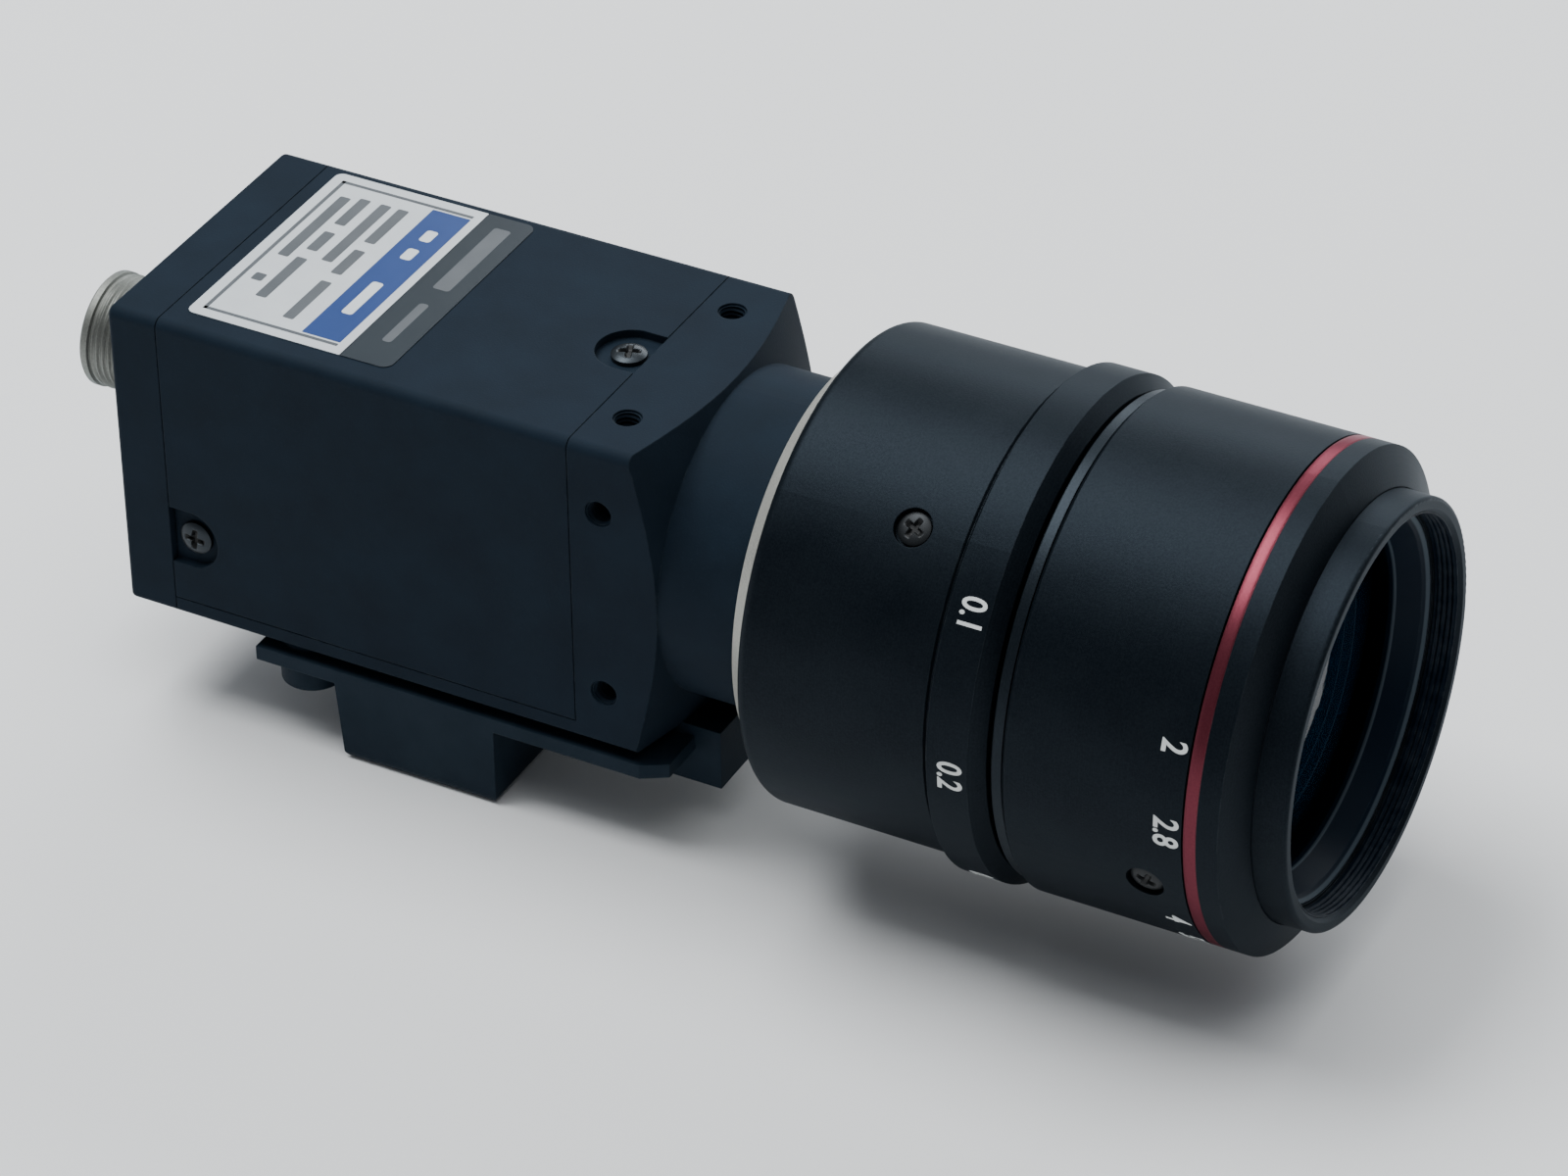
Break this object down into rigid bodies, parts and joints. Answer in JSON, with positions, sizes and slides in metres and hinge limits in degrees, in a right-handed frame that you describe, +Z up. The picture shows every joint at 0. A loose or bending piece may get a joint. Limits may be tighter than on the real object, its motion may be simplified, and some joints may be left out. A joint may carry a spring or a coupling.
{
  "type": "machine vision camera",
  "caption": "Square-bodied machine vision camera with a large manual focus and iris lens, round rear connector and an insulated tripod mounting foot.",
  "frame": {"origin": "mouth of the tripod thread, on the underside of the mounting foot", "axes": "+X along the optical axis towards the scene, +Z up from the foot to the camera, +Y completing the frame"},
  "size_m": [0.1998, 0.0718, 0.0774],
  "materials": {
    "housing_paint": "fine textured blue-black paint over an aluminium casting",
    "black_anodised": "satin black anodised",
    "red_anodised": "satin red anodised",
    "bare_metal": "turned, satin",
    "connector_metal": "dull nickel plate over brass",
    "screw_steel": "blackened steel",
    "pin_gold": "gold plated",
    "thread_brass": "machined brass",
    "foot_resin": "moulded, slightly rough",
    "insulator": "moulded",
    "seal_rubber": "matte",
    "label_film": "smooth printed film",
    "strip_film": "smooth dark film",
    "board_green": "solder mask",
    "chip_black": "moulded package",
    "sensor_ceramic": "sensor package",
    "blade_black": "blackened spring steel",
    "optical_glass": "coated optical glass"
  },
  "bodies": {
    "head": {"front_housing": "housing_paint", "body_cover": "housing_paint", "rear_cover": "housing_paint", "cover_screws": "screw_steel", "rear_screws": "screw_steel", "connector_shell": "connector_metal", "connector_insert": "insulator", "connector_pins": "pin_gold", "connector_gasket": "seal_rubber", "connector_nut": "connector_metal", "window_seal": "seal_rubber", "window_glass": "optical_glass", "window_ring": "black_anodised", "sensor_board": "board_green", "processor_board": "board_green", "memory_board": "board_green", "interface_board": "board_green", "board_standoffs": "bare_metal", "board_headers": "insulator", "board_screws": "screw_steel", "image_sensor": "sensor_ceramic", "sensor_glass": "optical_glass", "processor_chip": "chip_black", "memory_chips": "chip_black", "label_plate": "label_film", "name_strip": "strip_film", "mounting_foot": "foot_resin", "thread_insert": "thread_brass", "foot_screws": "screw_steel", "lens_mount_ring": "bare_metal", "lens_core": "black_anodised"},
    "focus_grip": {"focus_ring": "black_anodised", "focus_lock_screw": "screw_steel"},
    "optics_unit": {"inner_barrel": "black_anodised", "guide_pin": "bare_metal", "front_element": "optical_glass", "middle_element": "optical_glass", "rear_element": "optical_glass", "spacer_ring": "black_anodised", "middle_retainer": "black_anodised", "rear_retainer": "black_anodised", "front_retainer": "black_anodised", "red_ring": "red_anodised", "nose_ring": "black_anodised", "filter_ring": "black_anodised", "iris_base": "black_anodised", "iris_cover": "black_anodised"},
    "iris_grip": {"iris_cam_ring": "black_anodised", "iris_ring": "black_anodised", "iris_lock_screw": "screw_steel", "iris_drive_pin": "bare_metal"},
    "blade_1": {"iris_blade_1": "blade_black"},
    "blade_2": {"iris_blade_2": "blade_black"},
    "blade_3": {"iris_blade_3": "blade_black"},
    "blade_4": {"iris_blade_4": "blade_black"},
    "blade_5": {"iris_blade_5": "blade_black"},
    "blade_6": {"iris_blade_6": "blade_black"}
  },
  "joints": [
    {"name": "focus_turn", "type": "hinge", "parent": "head", "child": "focus_grip", "pos_m": [0.0766, 0, 0.0415], "axis": [1, 0, 0], "range_deg": [0, 150]},
    {"name": "barrel_travel", "type": "slide", "parent": "head", "child": "optics_unit", "axis": [1, 0, 0], "range_m": [0, 0.006]},
    {"name": "iris_turn", "type": "hinge", "parent": "optics_unit", "child": "iris_grip", "pos_m": [0.1116, 0, 0.0415], "axis": [1, 0, 0], "range_deg": [0, 50]},
    {"name": "iris_blade_1_turn", "type": "hinge", "parent": "optics_unit", "child": "blade_1", "pos_m": [0.1009, -0.00826, 0.06678], "axis": [1, 0, 0], "range_deg": [0, 20]},
    {"name": "iris_blade_2_turn", "type": "hinge", "parent": "optics_unit", "child": "blade_2", "pos_m": [0.1012, -0.02603, 0.04698], "axis": [1, 0, 0], "range_deg": [0, 20]},
    {"name": "iris_blade_3_turn", "type": "hinge", "parent": "optics_unit", "child": "blade_3", "pos_m": [0.1015, -0.01776, 0.0217], "axis": [1, 0, 0], "range_deg": [0, 20]},
    {"name": "iris_blade_4_turn", "type": "hinge", "parent": "optics_unit", "child": "blade_4", "pos_m": [0.1018, 0.00826, 0.01622], "axis": [1, 0, 0], "range_deg": [0, 20]},
    {"name": "iris_blade_5_turn", "type": "hinge", "parent": "optics_unit", "child": "blade_5", "pos_m": [0.1021, 0.02603, 0.03601], "axis": [1, 0, 0], "range_deg": [0, 20]},
    {"name": "iris_blade_6_turn", "type": "hinge", "parent": "optics_unit", "child": "blade_6", "pos_m": [0.1024, 0.01776, 0.0613], "axis": [1, 0, 0], "range_deg": [0, 20]}
  ],
  "couplings": [
    {"joint": "barrel_travel", "follows": "focus_turn", "m_per_rad": 0.0022918},
    {"joint": "iris_blade_1_turn", "follows": "iris_turn", "ratio": 0.4},
    {"joint": "iris_blade_2_turn", "follows": "iris_turn", "ratio": 0.4},
    {"joint": "iris_blade_3_turn", "follows": "iris_turn", "ratio": 0.4},
    {"joint": "iris_blade_4_turn", "follows": "iris_turn", "ratio": 0.4},
    {"joint": "iris_blade_5_turn", "follows": "iris_turn", "ratio": 0.4},
    {"joint": "iris_blade_6_turn", "follows": "iris_turn", "ratio": 0.4}
  ]
}
